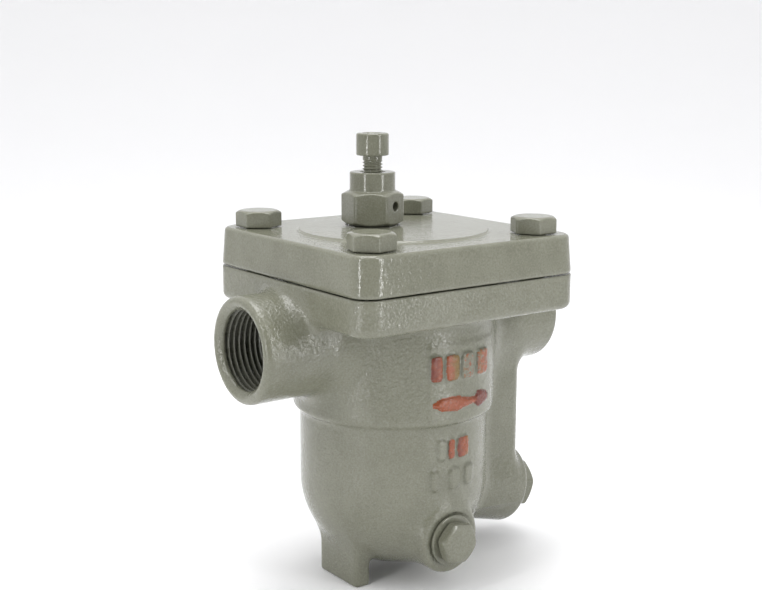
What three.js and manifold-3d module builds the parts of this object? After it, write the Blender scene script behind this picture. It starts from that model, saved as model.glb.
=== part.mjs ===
// Ball-float steam trap with screwed pipe ends, a bolted square cover and a hand-operated vent valve.
// Millimetres, +Z up. The origin is on the floor under the middle of the trap. Steam and condensate enter at -X and
// condensate leaves at +X; the drain plug faces -Y. Every piece is its own solid, named as a fitter would name it.
import * as THREE from "three";
import { mergeVertices } from "three/addons/utils/BufferGeometryUtils.js";
import Module from "manifold-3d";

const wasm = await Module();
wasm.setup();

// ---------------------------------------------------------------- driving dimensions
const GAP = 0.3; // left between pieces that touch
const SEG = 32; // facets round the large turned shapes

const PORT_Z = 99.7; // height of the pipe axis
const FACE_X = 71; // pipe faces, each side of the middle
const PORT_R = 20.6; // outside of the pipe bosses
const THREAD_R = 15.15; // G1 female thread, at its crests
const THREAD_DEPTH = 19;
const PORT_BORE_R = 12.5;

const JOINT_Z = 123.7; // machined top of the body flange
const FLANGE_LOW = 110;
const HALF = 51.7; // half side of the square flange and cover
const CORNER = 8.5;
const COVER_LOW = 124.2;
const COVER_TOP = 139.25;
const DISC_TOP = 140.05;
const DISC_R = 37.5;

const POT_R = 40.4; // upper stage of the pot
const POT_R2 = 37.7; // lower stage
const POT_IN = 35.5;
const POT_IN2 = 32.7;
const POT_MID = 40; // centre height of the round bottom
const POT_POLE = 3.6;
const POT_IN_POLE = 8.2;
const SHOULDER = 69; // inner shoulder that carries the strainer

const BOLT_PITCH = 38.64; // half distance between cover bolts
const BOLT_AF = 16;
const BOLT_HEAD = 6.4;
const BOLT_R = 4.8; // M10, thread drawn plain
const TAPPED_R = 5.15;
const BOLT_HOLE_R = 5.6;
const BOLT_TIP = 113.5;

const BALL_R = 28.5; // float
const BALL_WALL = 0.8;
const BALL_Z = 39.5; // centre of the float on its rest
const TILT = (15.5 * Math.PI) / 180; // the seat bore runs outwards and down from the float's centre
const SEAT_BOSS_R = 16.8;
const SEAT_BOSS_END = 61.8; // along the seat axis from the float's centre
const CHAMBER_R = 9.8;
const PLUG_R = 8; // M16 plug thread
const PLUG_AF = 19;
const PASSAGE_X = 47.5; // riser from the seat chamber to the outlet
const PASSAGE_R = 6.5;
const COLUMN_X = 57; // outer face of the riser column
const COLUMN_HALF = 14.6;

const DRAIN_X = 0.5;
const DRAIN_Z = 22;
const DRAIN_BOSS_R = 13.7;
const DRAIN_FACE = -37.1;
const DRAIN_R = 6; // M12 plug thread
const DRAIN_AF = 15;

const VENT_X = -1.6;
const VENT_Y = 12.1;
const VENT_AF = 22;
const SPOT = 139; // floor of the spot face that holds the vent washer
const VENT_TURN = (21 * Math.PI) / 180; // how far the hexagon is turned about its axis

// ---------------------------------------------------------------- solids
function toSolid(geometry) {
  let g = geometry.index ? geometry.toNonIndexed() : geometry.clone();
  g.deleteAttribute("normal");
  g.deleteAttribute("uv");
  g = mergeVertices(g, 1e-4);
  const p = g.attributes.position.array;
  let t = [];
  for (let i = 0; i < g.index.count; i += 3) {
    const [a, b, c] = [0, 1, 2].map((k) => g.index.getX(i + k));
    if (a !== b && b !== c && a !== c) t.push([a, b, c]);
  }
  const at = (i) => new THREE.Vector3(p[3 * i], p[3 * i + 1], p[3 * i + 2]);
  let v = 0;
  for (const [a, b, c] of t) v += at(a).dot(at(b).cross(at(c)));
  if (v < 0) t = t.map(([a, b, c]) => [a, c, b]);
  return new wasm.Manifold(
    new wasm.Mesh({ numProp: 3, vertProperties: new Float32Array(p), triVerts: new Uint32Array(t.flat()) }),
  );
}
const join = (...s) => s.reduce((a, b) => a.add(b));
const cut = (a, ...s) => s.reduce((m, b) => m.subtract(b), a);

function aim(geometry, dir, at) {
  const q = new THREE.Quaternion().setFromUnitVectors(new THREE.Vector3(0, 1, 0), new THREE.Vector3(...dir).normalize());
  return geometry.applyQuaternion(q).translate(...at);
}
// A turned solid: profile is [radius, distance along dir] pairs.
function turned(profile, seg = SEG, dir = [0, 0, 1], at = [0, 0, 0]) {
  const pts = profile.map(([r, h]) => new THREE.Vector2(Math.max(r, 0), h));
  return toSolid(aim(new THREE.LatheGeometry(pts, seg), dir, at));
}
const rod = (r, a, b, seg = 24, dir, at) => turned([[0, a], [r, a], [r, b], [0, b]], seg, dir, at);
const tube = (ri, ro, a, b, seg = 24, dir, at) =>
  turned([[ri, a], [ro, a], [ro, b], [ri, b], [ri, a]], seg, dir, at);
function boxed(x0, x1, y0, y1, z0, z1) {
  return toSolid(new THREE.BoxGeometry(x1 - x0, y1 - y0, z1 - z0).translate((x0 + x1) / 2, (y0 + y1) / 2, (z0 + z1) / 2));
}
function roundRect(hx, hy, r, cx = 0, cy = 0) {
  const s = new THREE.Shape();
  s.absarc(cx + hx - r, cy + hy - r, r, 0, Math.PI / 2);
  s.absarc(cx - hx + r, cy + hy - r, r, Math.PI / 2, Math.PI);
  s.absarc(cx - hx + r, cy - hy + r, r, Math.PI, Math.PI * 1.5);
  s.absarc(cx + hx - r, cy - hy + r, r, Math.PI * 1.5, Math.PI * 2);
  s.closePath();
  return s;
}
// A plate between two heights with rounded edges of radius e.
function plate(shape, z0, z1, e, steps = 2, curve = 4) {
  return new THREE.ExtrudeGeometry(shape, {
    depth: z1 - z0 - 2 * e, bevelEnabled: e > 0, bevelThickness: e, bevelSize: e, bevelOffset: -e,
    bevelSegments: steps, curveSegments: curve,
  }).translate(0, 0, z0 + e);
}
// A hexagon bar from a to b along dir, with its corners chamfered at the ends asked for.
function hexBar(af, a, b, dir, at, turn = 0, low = true, high = true, seg = 18) {
  const R = af / Math.sqrt(3), rc = af * 0.475, d = (R - rc) * 0.58;
  const bar = toSolid(aim(new THREE.CylinderGeometry(R, R, b - a, 6).rotateY(turn + Math.PI / 6).translate(0, (a + b) / 2, 0), dir, at));
  const env = [[0, a]];
  if (low) env.push([rc, a], [R + 0.1, a + d + 0.06]);
  else env.push([R + 0.1, a]);
  if (high) env.push([R + 0.1, b - d - 0.06], [rc, b]);
  else env.push([R + 0.1, b]);
  env.push([0, b]);
  return bar.intersect(turned(env, seg, dir, at));
}
function arc(cx, cz, r, rz, a0, a1, n) {
  return Array.from({ length: n + 1 }, (_, i) => {
    const a = ((a0 + ((a1 - a0) * i) / n) * Math.PI) / 180;
    return [cx + r * Math.cos(a), cz + rz * Math.sin(a)];
  });
}

const X = [1, 0, 0], Z = [0, 0, 1];
const SEAT = [Math.cos(TILT), 0, -Math.sin(TILT)];
const CENTRE = [0, 0, BALL_Z];
const OUT = [0, -1, 0]; // drain axis
const DRAIN = [DRAIN_X, 0, DRAIN_Z];

// ---------------------------------------------------------------- body
function makeBody() {
  const pot = turned([
    ...arc(0, POT_MID, POT_R2, POT_MID - POT_POLE, -90, 0, 6).map(([r, z], i) => [i ? r : 0, z]),
    [POT_R2, 65.5], [39, 68.3], [POT_R, 71.5], [POT_R, 118], [0, 118],
  ]);
  const flange = cut(
    toSolid(plate(roundRect(HALF, HALF, CORNER), FLANGE_LOW, JOINT_Z + 8, 3)),
    boxed(-60, 60, -60, 60, JOINT_Z, JOINT_Z + 20),
  );
  const boss = (s) => turned([[0, 30], [PORT_R + 0.6, 30], [PORT_R, 55], [PORT_R, FACE_X - 2.2], [PORT_R - 0.5, FACE_X - 0.8], [PORT_R - 1.6, FACE_X], [0, FACE_X]],
    28, [s, 0, 0], [0, 0, PORT_Z]);
  const column = toSolid(plate(roundRect(15, COLUMN_HALF, 6, COLUMN_X - 15, 0), 25, 112, 0));
  const seatBoss = turned([[0, 22], [SEAT_BOSS_R - 1, 22], [SEAT_BOSS_R, 30], [SEAT_BOSS_R, SEAT_BOSS_END - 2], [SEAT_BOSS_R - 0.6, SEAT_BOSS_END - 0.6], [SEAT_BOSS_R - 2, SEAT_BOSS_END], [0, SEAT_BOSS_END]],
    24, SEAT, CENTRE);
  const drainBoss = turned([[0, 18], [DRAIN_BOSS_R + 1, 18], [DRAIN_BOSS_R, -DRAIN_FACE - 3], [DRAIN_BOSS_R - 0.6, -DRAIN_FACE - 0.8], [DRAIN_BOSS_R - 1.8, -DRAIN_FACE], [0, -DRAIN_FACE]],
    24, OUT, DRAIN);
  const foot = (s) => toSolid(plate(roundRect(3.5, 13, 2, s * 23.9, 0), 0, 24, 0, 1, 3));

  // Raised marking plate on the front of the upper stage, and blank raised pads with a flow arrow on it.
  const deg = Math.PI / 180;
  const wedge = new THREE.Shape([new THREE.Vector2(0, 0), ...[-109, -91, -73, -55].map((a) => new THREE.Vector2(70 * Math.cos(a * deg), 70 * Math.sin(a * deg)))]);
  const markPlate = toSolid(plate(wedge, 67.8, 102, 0)).intersect(tube(36, POT_R + 0.5, 60, 106, SEG));
  const stamp = (pts, ro) => {
    const s = new THREE.Shape(pts.map(([x, z]) => new THREE.Vector2(x, z)));
    const bar = toSolid(new THREE.ExtrudeGeometry(s, { depth: 30, bevelEnabled: false }).rotateX(Math.PI / 2).translate(0, -20, 0));
    return bar.intersect(tube(ro - 3, ro, 38, 104, SEG));
  };
  const pad = (x0, x1, z0, z1, ro) => stamp([[x0, z0], [x1, z0], [x1, z1], [x0, z1]], ro);
  const marks = [
    stamp([[-9, 75.7], [9.5, 75.7], [9.5, 73.4], [19, 77], [9.5, 80.6], [9.5, 78.3], [-9, 78.3]], POT_R + 1.5),
    ...[-11, -3, 5, 13].map((x) => pad(x, x + 5.4, 87, 96, POT_R + 1.5)),
    ...[-1.5, 4.5].map((x) => pad(x, x + 4.4, 55.2, 62.4, POT_R2 + 1)),
    ...[-9.5, -1.5, 6.5].map((x) => pad(x, x + 5.4, 42.4, 49.6, POT_R2 + 1)),
  ];

  let body = join(pot, flange, boss(-1), boss(1), column, seatBoss, drainBoss, foot(-1), foot(1), markPlate, ...marks);

  // Float chamber with the strainer's shoulder and the retaining ring's groove.
  const cavity = turned([
    ...arc(0, POT_MID, POT_IN2, POT_MID - POT_IN_POLE, -90, 0, 5).map(([r, z], i) => [i ? r : 0, z]),
    [POT_IN2, SHOULDER], [POT_IN, SHOULDER], [POT_IN, 120.3], [POT_IN + 0.9, 120.3], [POT_IN + 0.9, 121.6], [POT_IN, 121.6], [POT_IN, 126], [0, 126],
  ]);
  // Two low rails carry the float at the bottom of the chamber.
  const ball = toSolid(new THREE.SphereGeometry(BALL_R + GAP, 24, 14).rotateX(Math.PI / 2).translate(0, 0, BALL_Z));
  const rails = join(boxed(-13, 11, 8, 11, 6, 15), boxed(-13, 11, -11, -8, 6, 15))
    .intersect(turned([...arc(0, POT_MID, POT_IN2 + 1.5, POT_MID - POT_IN_POLE + 1.5, -90, 0, 7).map(([r, z], i) => [i ? r : 0, z]), [0, POT_MID]]));
  body = cut(body, cut(cavity, cut(rails, ball)));

  const port = (s, inner) => turned([[0, inner], [PORT_BORE_R, inner], [PORT_BORE_R, FACE_X - THREAD_DEPTH], [THREAD_R, FACE_X - THREAD_DEPTH], [THREAD_R, FACE_X - 1.9], [17.05, FACE_X], [17.05, FACE_X + 2], [0, FACE_X + 2]],
    28, [s, 0, 0], [0, 0, PORT_Z]);
  const chamber = turned([[0, 40], [CHAMBER_R, 40], [CHAMBER_R, 55.6], [PLUG_R + GAP, 55.6], [PLUG_R + GAP, SEAT_BOSS_END + 4], [0, SEAT_BOSS_END + 4]],
    20, SEAT, CENTRE);
  const bolts = [];
  for (const sx of [-1, 1]) for (const sy of [-1, 1])
    bolts.push(rod(TAPPED_R, FLANGE_LOW - 2, JOINT_Z + 2, 16, Z, [sx * BOLT_PITCH, sy * BOLT_PITCH, 0]));
  return cut(body,
    port(-1, 33), port(1, 42.2),
    rod(PASSAGE_R, BALL_Z - PASSAGE_X * Math.tan(TILT), PORT_Z, 16, Z, [PASSAGE_X, 0, 0]),
    chamber,
    rod(6.2, 26, 42, 20, SEAT, CENTRE),
    rod(DRAIN_R + GAP, 20, 40, 20, OUT, DRAIN),
    rod(11, -DRAIN_FACE, 48, 24, OUT, DRAIN), // spot face under the drain washer
    rod(13, SEAT_BOSS_END, 72, 24, SEAT, CENTRE),
    tube(37.7, 44.5, JOINT_Z - 1.2, JOINT_Z + 2, SEG),
    ...bolts);
}

// ---------------------------------------------------------------- cover and its fasteners
function makeCover() {
  const g = plate(roundRect(HALF, HALF, CORNER), COVER_LOW - 4, COVER_TOP, 1.4, 1);
  const p = g.attributes.position;
  for (let i = 0; i < p.count; i++) { // moulding draft
    const k = 1 - (0.9 / HALF) * Math.max(0, (p.getZ(i) - COVER_LOW) / (COVER_TOP - COVER_LOW));
    p.setXY(i, p.getX(i) * k, p.getY(i) * k);
  }
  const slab = cut(toSolid(g), boxed(-60, 60, -60, 60, COVER_LOW - 10, COVER_LOW));
  const disc = turned([[0, COVER_TOP - 2], [DISC_R + 1, COVER_TOP - 2], [DISC_R + 1, COVER_TOP], [DISC_R, COVER_TOP + 0.3], [DISC_R - 1.2, DISC_TOP], [0, DISC_TOP]]);
  const holes = [];
  for (const sx of [-1, 1]) for (const sy of [-1, 1])
    holes.push(rod(BOLT_HOLE_R, COVER_LOW - 2, COVER_TOP + 4, 16, Z, [sx * BOLT_PITCH, sy * BOLT_PITCH, 0]));
  const hollow = turned([[0, COVER_LOW - 2], [31, COVER_LOW - 2], [31, COVER_LOW + 2.5], [28, COVER_LOW + 5.4], [0, COVER_LOW + 5.4]]);
  return cut(join(slab, disc), hollow, rod(7.2, COVER_LOW, DISC_TOP + 2, 20, Z, [VENT_X, VENT_Y, 0]),
    rod(10.6, SPOT, DISC_TOP + 2, 20, Z, [VENT_X, VENT_Y, 0]), ...holes);
}
const makeGasket = () => tube(38, 44.2, JOINT_Z - 0.9, COVER_LOW - GAP, SEG);
function makeBolt(sx, sy, turn) {
  const at = [sx * BOLT_PITCH, sy * BOLT_PITCH, 0];
  const under = COVER_TOP + GAP;
  return join(
    hexBar(BOLT_AF, under, under + BOLT_HEAD, Z, at, (turn * Math.PI) / 180, false, true),
    turned([[0, BOLT_TIP], [BOLT_R, BOLT_TIP], [BOLT_R, under + 1], [0, under + 1]], 14, Z, at));
}

// ---------------------------------------------------------------- vent valve
const VENT = [VENT_X, VENT_Y, 0];
const V_HEX = 140.35, V_HEX_TOP = 153.75, V_TOP = 161.3, V_SEAT = 142.8, V_WEEP = 147.95;
const SCREW_TIP = 149.2, SCREW_HEAD = 167.8, SCREW_TOP = 176.6;
const BLEED_R = 3.2, BLEED_Z = V_SEAT + 2.32 + GAP;
const ventWasher = () => tube(7.25, 9.9, SPOT + GAP, V_HEX - GAP, 20, Z, VENT);
function makeVentBody() {
  const outer = join(
    hexBar(VENT_AF, V_HEX, V_HEX_TOP, Z, VENT, VENT_TURN),
    turned([[0, V_HEX_TOP - 1], [9.1, V_HEX_TOP - 1], [9.1, V_TOP - 0.9], [8.2, V_TOP], [0, V_TOP]], 24, Z, VENT),
    turned([[0, 130.2], [6.2, 130.2], [6.9, 131], [6.9, V_HEX + 1], [0, V_HEX + 1]], 16, Z, VENT));
  const a = (-69 * Math.PI) / 180;
  return cut(outer,
    turned([[0, 129], [2.2, 129], [2.2, V_SEAT], [4.3, V_SEAT], [4.3, V_TOP - 0.7], [5, V_TOP], [5, V_TOP + 1], [0, V_TOP + 1]], 16, Z, VENT),
    rod(1.9, 2, 14, 10, [Math.cos(a), Math.sin(a), 0], [VENT_X, VENT_Y, V_WEEP]));
}
const makeBleedBall = () => toSolid(new THREE.SphereGeometry(BLEED_R, 12, 8).rotateX(Math.PI / 2).translate(VENT_X, VENT_Y, BLEED_Z));
function makeVentScrew() {
  const screw = join(
    turned([[0, SCREW_TIP], [2.6, SCREW_TIP], [3.9, SCREW_TIP + 1.3], [3.9, SCREW_HEAD + 1], [0, SCREW_HEAD + 1]], 16, Z, VENT),
    turned([[0, SCREW_HEAD], [6.2, SCREW_HEAD], [6.5, SCREW_HEAD + 0.4], [6.5, SCREW_TOP - 0.7], [5.8, SCREW_TOP], [0, SCREW_TOP]], 20, Z, VENT));
  const socket = toSolid(new THREE.CylinderGeometry(3.46, 3.46, 6, 6).rotateX(Math.PI / 2).translate(VENT_X, VENT_Y, SCREW_TOP - 4.5 + 3));
  return cut(screw, socket);
}

// ---------------------------------------------------------------- float, strainer, seat and plugs
function makeFloat() {
  const shell = (r) => toSolid(new THREE.SphereGeometry(r, 20, 12).rotateX(Math.PI / 2).translate(0, 0, BALL_Z));
  return cut(shell(BALL_R), shell(BALL_R - BALL_WALL), rod(0.8, BALL_R - 3, BALL_R + 2, 8, [-1, 0, 0], CENTRE));
}
function makeStrainer() {
  const sleeve = turned([[32.2, SHOULDER + GAP], [35.2, SHOULDER + GAP], [35.2, SHOULDER + 1.3], [33.2, SHOULDER + 1.3], [33.2, 118.9], [35.2, 118.9], [35.2, 119.9], [32.2, 119.9], [32.2, SHOULDER + GAP]], 24);
  const holes = [];
  for (let row = 0; row < 2; row++)
    for (let i = 0; i < 4; i++) {
      const a = ((i + 0.25 + (row % 2) / 2) * Math.PI) / 4;
      holes.push(rod(3, -36, 36, 6, [Math.cos(a), Math.sin(a), 0], [0, 0, 84 + 16 * row]));
    }
  return cut(sleeve, ...holes);
}
function makeRing() {
  const s = new THREE.Shape();
  const a0 = 0.16, a1 = Math.PI * 2 - 0.16;
  s.absarc(0, 0, 36.1, a0, a1, false);
  s.absarc(0, 0, 33.4, a1, a0, true);
  s.closePath();
  return toSolid(new THREE.ExtrudeGeometry(s, { depth: 0.8, bevelEnabled: false, curveSegments: 20 }).rotateZ(Math.PI / 2).translate(0, 0, 120.55));
}
function makeSeat() {
  const outer = join(
    turned([[0, BALL_R + 0.35], [2.6, BALL_R + 0.35], [4.4, BALL_R + 2], [4.4, 32], [5.9, 33], [5.9, 42], [0, 42]], 16, SEAT, CENTRE),
    hexBar(13, 41.1, 46, SEAT, CENTRE, 0));
  return cut(outer, turned([[0, 27], [1.5, 27], [1.5, 36], [3.2, 37], [3.2, 48], [0, 48]], 12, SEAT, CENTRE));
}
const makeSeatGasket = () => tube(6.25, 8.6, 40 + GAP, 41.1 - GAP, 18, SEAT, CENTRE);
function makePlug(dir, at, face, r, inner, af, high, turn, washer) {
  const base = face + 2 * GAP + washer;
  return join(
    turned([[0, inner], [r - 0.9, inner], [r, inner + 0.9], [r, base + 1], [0, base + 1]], 16, dir, at),
    hexBar(af, base, base + high, dir, at, turn));
}
const makeWasher = (dir, at, face, ri, ro, washer) => tube(ri, ro, face + GAP, face + GAP + washer, 20, dir, at);

// ---------------------------------------------------------------- scene graph
const enamel = { color: 0x8c8c7a, roughness: 0.3, metalness: 0 };
const steel = { color: 0xb9bbbd, roughness: 0.3, metalness: 1 };
const graphite = { color: 0x2c2c2e, roughness: 0.8, metalness: 0 };
const trap = new THREE.Group();
function piece(name, solid, look) {
  const m = solid.getMesh(), v = new Float32Array(m.numVert * 3);
  for (let i = 0; i < m.numVert; i++) for (let k = 0; k < 3; k++) v[3 * i + k] = m.vertProperties[i * m.numProp + k];
  const g = new THREE.BufferGeometry().setAttribute("position", new THREE.BufferAttribute(v, 3));
  g.setIndex(new THREE.BufferAttribute(new Uint32Array(m.triVerts), 1));
  g.computeVertexNormals();
  const mesh = new THREE.Mesh(g, new THREE.MeshStandardMaterial(look));
  mesh.name = name;
  trap.add(mesh);
  return mesh;
}

piece("body", makeBody(), enamel);
piece("cover", makeCover(), enamel);
piece("cover_gasket", makeGasket(), graphite);
piece("cover_bolt_front", makeBolt(-1, -1, 10.5), enamel);
piece("cover_bolt_right", makeBolt(1, -1, 2.5), enamel);
piece("cover_bolt_left", makeBolt(-1, 1, 27.5), enamel);
piece("cover_bolt_rear", makeBolt(1, 1, 20), enamel);
piece("vent_washer", ventWasher(), enamel);
piece("vent_body", makeVentBody(), enamel);
piece("vent_ball", makeBleedBall(), steel);
piece("vent_screw", makeVentScrew(), enamel);
piece("float_ball", makeFloat(), steel);
piece("strainer", makeStrainer(), steel);
piece("strainer_retaining_ring", makeRing(), steel);
piece("valve_seat", makeSeat(), steel);
piece("seat_gasket", makeSeatGasket(), graphite);
piece("seat_plug", makePlug(SEAT, CENTRE, SEAT_BOSS_END, PLUG_R - GAP, 56.4, PLUG_AF, 8.4, -0.065, 1.4), enamel);
piece("seat_plug_washer", makeWasher(SEAT, CENTRE, SEAT_BOSS_END, PLUG_R + 0.2, 12.2, 1.4), enamel);
piece("drain_plug", makePlug(OUT, DRAIN, -DRAIN_FACE, DRAIN_R - GAP, 28.4, DRAIN_AF, 4.8, -0.21, 1.2), enamel);
piece("drain_plug_washer", makeWasher(OUT, DRAIN, -DRAIN_FACE, DRAIN_R + 0.2, 10, 1.2), enamel);

export default trap;
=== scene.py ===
"""Looks for the ball-float steam trap: fine meshes, enamel, steel and graphite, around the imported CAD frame."""
import math
import time

import bpy
import numpy as np
from mathutils import Matrix, Vector


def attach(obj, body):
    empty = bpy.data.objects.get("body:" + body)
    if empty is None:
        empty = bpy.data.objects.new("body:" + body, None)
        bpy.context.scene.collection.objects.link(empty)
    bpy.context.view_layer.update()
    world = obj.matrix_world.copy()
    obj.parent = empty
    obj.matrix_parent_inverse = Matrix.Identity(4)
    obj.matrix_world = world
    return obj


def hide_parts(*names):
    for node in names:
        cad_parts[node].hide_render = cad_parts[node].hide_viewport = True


T0 = time.perf_counter()
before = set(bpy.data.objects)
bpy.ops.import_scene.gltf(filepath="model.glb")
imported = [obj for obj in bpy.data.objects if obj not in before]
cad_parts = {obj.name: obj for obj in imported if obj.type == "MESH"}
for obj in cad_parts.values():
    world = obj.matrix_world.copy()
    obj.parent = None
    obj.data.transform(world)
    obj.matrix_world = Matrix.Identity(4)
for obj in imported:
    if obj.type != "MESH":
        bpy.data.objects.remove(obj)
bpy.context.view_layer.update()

# ------------------------------------------------------------------ solids as distance fields, in millimetres
# Each field takes three arrays and gives the distance to the surface, negative inside.


def smin(a, b, k):
    if k <= 0:
        return np.minimum(a, b)
    h = np.clip(k - np.abs(a - b), 0, None) / k
    return np.minimum(a, b) - h * h * k * 0.25


def smax(a, b, k):
    return -smin(-a, -b, k)


def join2(dx, dy, e):
    """A 2-D corner made of two distances, rounded by e."""
    a, b = dx + e, dy + e
    return np.minimum(np.maximum(a, b), 0) + np.hypot(np.maximum(a, 0), np.maximum(b, 0)) - e


def axes_of(d):
    d = np.array(d, float)
    d /= np.linalg.norm(d)
    u = np.cross([0, 0, 1.0], d) if abs(d[2]) < 0.9 else np.array([1.0, 0, 0])
    u /= np.linalg.norm(u)
    return d, u, np.cross(d, u)


def along(x, y, z, at, d):
    """(distance along d from at, distance off that axis)."""
    d = np.array(d, float) / np.linalg.norm(d)
    px, py, pz = x - at[0], y - at[1], z - at[2]
    s = px * d[0] + py * d[1] + pz * d[2]
    return s, np.sqrt(np.maximum(px * px + py * py + pz * pz - s * s, 0))


def cyl(x, y, z, at, d, r, a, b, e=0.5, e2=None):
    """A rod of radius r from a to b along d, its ends rounded by e at b and e2 at a."""
    s, q = along(x, y, z, at, d)
    far = join2(q - r, s - b, e)
    near = join2(q - r, a - s, e if e2 is None else e2)
    return np.maximum(far, near)


def hexa(x, y, z, at, d, af, a, b, turn=0.0, soft=0.5, end=0.5, chamfer=(0.0, 0.95), dome=0.0):
    """A hexagon bar with soft corners. chamfer says how much of the across-flats each end's face keeps, 0 for none."""
    d, u, v = axes_of(d)
    px, py, pz = x - at[0], y - at[1], z - at[2]
    s = px * d[0] + py * d[1] + pz * d[2]
    g = px * u[0] + py * u[1] + pz * u[2]
    w = px * v[0] + py * v[1] + pz * v[2]
    side = None
    for k in range(3):
        t = turn + k * math.pi / 3
        one = np.abs(g * math.cos(t) + w * math.sin(t)) - af / 2
        side = one if side is None else smax(side, one, soft)
    q = np.sqrt(g * g + w * w)
    out = join2(side, s - b, end)
    out = np.maximum(out, join2(side, a - s, end))
    for share, t in ((chamfer[0], a - s), (chamfer[1], s - b)):
        if share:
            cone = (q - af / 2 * share) * math.sin(math.radians(30)) + t * math.cos(math.radians(30))
            out = smax(out, cone, 0.35)
    if dome:
        out = smax(out, s - b + dome * (q / (af / 2)) ** 2 - 0.0, 0.2)
    return out


def box3(x, y, z, lo, hi, e):
    q = [np.abs(p - (a + b) / 2) - (b - a) / 2 + e for p, a, b in zip((x, y, z), lo, hi)]
    inside = np.minimum(np.maximum(np.maximum(q[0], q[1]), q[2]), 0)
    return inside + np.sqrt(sum(np.maximum(t, 0) ** 2 for t in q)) - e


def rrect(x, y, cx, cy, hx, hy, r):
    """The distance to a rectangle with corners of radius r, in plan."""
    a, b = np.abs(x - cx) - hx + r, np.abs(y - cy) - hy + r
    return np.minimum(np.maximum(a, b), 0) + np.hypot(np.maximum(a, 0), np.maximum(b, 0)) - r


# ------------------------------------------------------------------ fields to meshes
def surface(field, lo, hi, h, steps=3):
    """Vertices and quads on the zero surface of field between two corners, on cells of size h."""
    lo, hi = np.array(lo, float) - 2 * h, np.array(hi, float) + 2 * h
    n = np.ceil((hi - lo) / h).astype(int) + 1
    ax = [(lo[i] + h * np.arange(n[i])).astype(np.float32) for i in range(3)]
    f = np.empty(n, np.float32)
    for i0 in range(0, n[0], 24):  # slabs keep the arrays small
        i1 = min(n[0], i0 + 24)
        X, Y, Z = np.meshgrid(ax[0][i0:i1], ax[1], ax[2], indexing="ij")
        f[i0:i1] = field(X, Y, Z)
    f[f == 0] = 1e-6
    neg = f < 0
    c = sum(neg[i:n[0] - 1 + i, j:n[1] - 1 + j, k:n[2] - 1 + k].astype(np.int8) for i in (0, 1) for j in (0, 1) for k in (0, 1))
    cells = (c > 0) & (c < 8)
    idx = np.full(cells.shape, -1, np.int64)
    where = np.argwhere(cells)
    idx[cells] = np.arange(len(where))
    total = np.zeros((len(where), 3))
    count = np.zeros(len(where))
    for axis in range(3):
        for a in (0, 1):
            for b in (0, 1):
                o0, o1 = [0, 0, 0], [0, 0, 0]
                other = [q for q in range(3) if q != axis]
                o0[other[0]] = o1[other[0]] = a
                o0[other[1]] = o1[other[1]] = b
                o1[axis] = 1
                f0 = f[where[:, 0] + o0[0], where[:, 1] + o0[1], where[:, 2] + o0[2]]
                f1 = f[where[:, 0] + o1[0], where[:, 1] + o1[1], where[:, 2] + o1[2]]
                cross = (f0 < 0) != (f1 < 0)
                t = np.where(cross, f0 / np.where(f0 == f1, 1, f0 - f1), 0)
                p = np.array(o0, float) + np.zeros((len(where), 3))
                p[:, axis] += t
                total[cross] += p[cross]
                count[cross] += 1
    v = lo + h * (where + total / count[:, None])
    quads = []
    for axis in range(3):
        b, d = [(1, 2), (2, 0), (0, 1)][axis]
        s0 = [slice(None)] * 3
        s1 = [slice(None)] * 3
        s0[axis], s1[axis] = slice(0, -1), slice(1, None)
        a0, a1 = neg[tuple(s0)], neg[tuple(s1)]
        e = np.argwhere(a0 != a1)
        e = e[(e[:, b] > 0) & (e[:, d] > 0) & (e[:, b] < n[b] - 1) & (e[:, d] < n[d] - 1)]
        out = a0[e[:, 0], e[:, 1], e[:, 2]]
        corners = []
        for db, dd in ((0, 0), (-1, 0), (-1, -1), (0, -1)):
            q = e.copy()
            q[:, b] += db
            q[:, d] += dd
            corners.append(idx[q[:, 0], q[:, 1], q[:, 2]])
        q = np.stack(corners, 1)
        q[~out] = q[~out][:, ::-1]
        quads.append(q)
    quads = np.concatenate(quads)
    e = 0.02
    start = v.copy()
    for _ in range(steps):
        f0 = field(v[:, 0], v[:, 1], v[:, 2])
        g = np.stack([field(v[:, 0] + e * (k == 0), v[:, 1] + e * (k == 1), v[:, 2] + e * (k == 2))
                      - field(v[:, 0] - e * (k == 0), v[:, 1] - e * (k == 1), v[:, 2] - e * (k == 2)) for k in range(3)], 1) / (2 * e)
        gg = np.maximum((g * g).sum(1), 0.2)
        move = -(f0 / gg)[:, None] * g
        size = np.linalg.norm(move, axis=1, keepdims=True)
        v += move * np.minimum(1, 0.4 * h / np.maximum(size, 1e-9))
    off = v - start
    size = np.linalg.norm(off, axis=1, keepdims=True)
    v = start + off * np.minimum(1, 0.9 * h / np.maximum(size, 1e-9))
    return v, quads


def add_mesh(name, v, faces, body, nodes, mat, smooth=True):
    me = bpy.data.meshes.new(name)
    faces = np.asarray(faces)
    k = faces.shape[1]
    me.vertices.add(len(v))
    me.vertices.foreach_set("co", (np.asarray(v) / 1000).astype(np.float32).ravel())
    me.loops.add(faces.size)
    me.loops.foreach_set("vertex_index", faces.astype(np.int32).ravel())
    me.polygons.add(len(faces))
    me.polygons.foreach_set("loop_start", np.arange(0, faces.size, k, dtype=np.int32))
    me.polygons.foreach_set("loop_total", np.full(len(faces), k, np.int32))
    me.update(calc_edges=True)
    me.validate()
    me.polygons.foreach_set("use_smooth", np.full(len(me.polygons), smooth))
    o = bpy.data.objects.new(name, me)
    bpy.context.scene.collection.objects.link(o)
    me.materials.append(mat)
    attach(o, body)
    if nodes:
        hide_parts(*nodes)
    return o


def solid(name, field, lo, hi, h, body, nodes, mat, steps=3):
    t = time.perf_counter()
    v, q = surface(field, lo, hi, h, steps)
    o = add_mesh(name, v, q, body, nodes, mat)
    print(f"MESH {name}: {len(v)} vertices, {len(q)} faces, {time.perf_counter() - t:.1f} s")
    return o

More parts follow.
